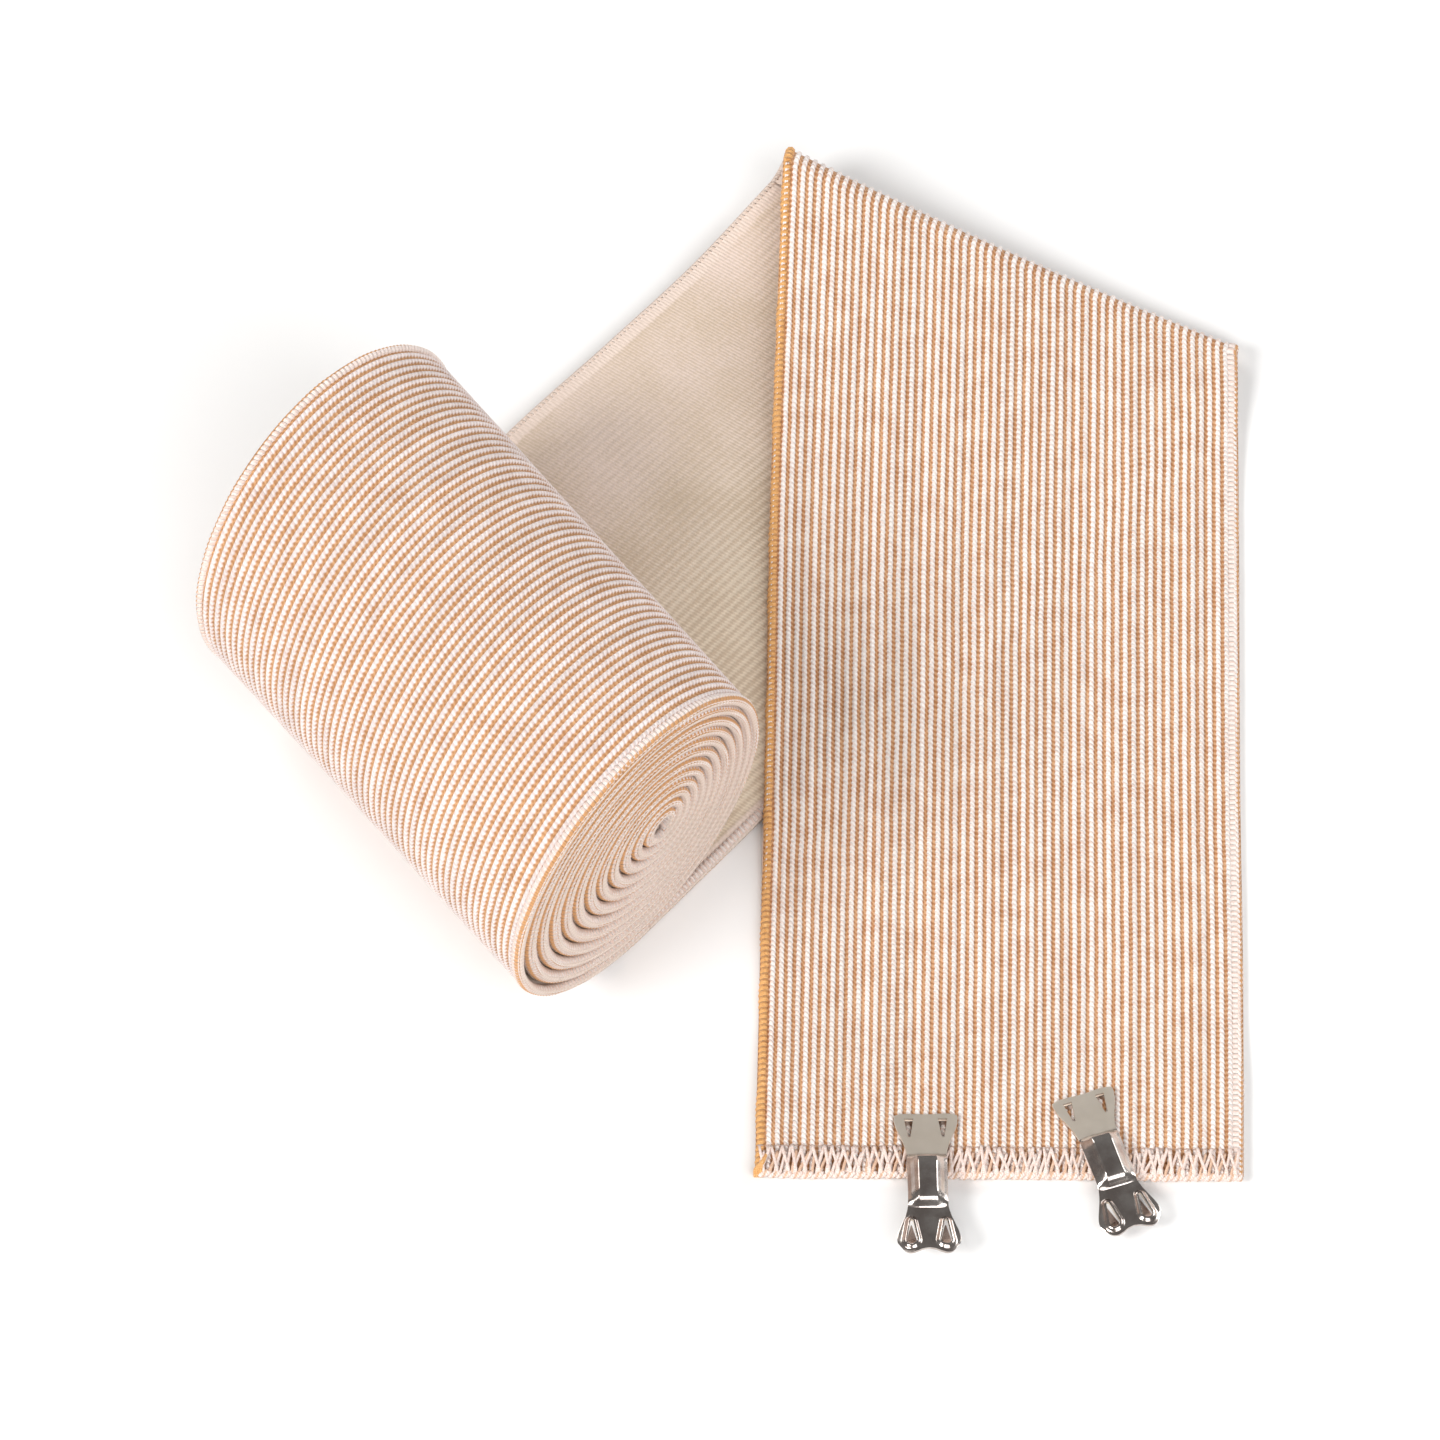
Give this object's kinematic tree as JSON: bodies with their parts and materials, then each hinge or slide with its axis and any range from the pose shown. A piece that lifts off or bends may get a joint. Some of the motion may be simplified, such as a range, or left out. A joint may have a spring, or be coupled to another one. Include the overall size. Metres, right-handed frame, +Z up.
{
  "type": "elastic bandage with clips",
  "caption": "Ribbed elastic bandage lying as a soft roll with its free strip folded back beside it, stamped metal clips hooked on the bound end.",
  "frame": {"origin": "bottom centre of the whole object's box, on the surface that it lies on", "axes": "+Z up; the strip runs from its fold towards -Y; +X points to the strip's right, away from the roll"},
  "size_m": [0.1648, 0.1964, 0.0548],
  "materials": {
    "cloth": "tan elastic weave with raised off-white cords, plain beige on the inner side",
    "thread": "off-white and pale orange overlock thread",
    "clip_metal": "nickel-plated stamped sheet, softly polished"
  },
  "bodies": {
    "root": {"bandage_cloth": "cloth", "end_binding": "thread", "clip_upright": "clip_metal", "clip_slanted": "clip_metal"}
  },
  "joints": []
}
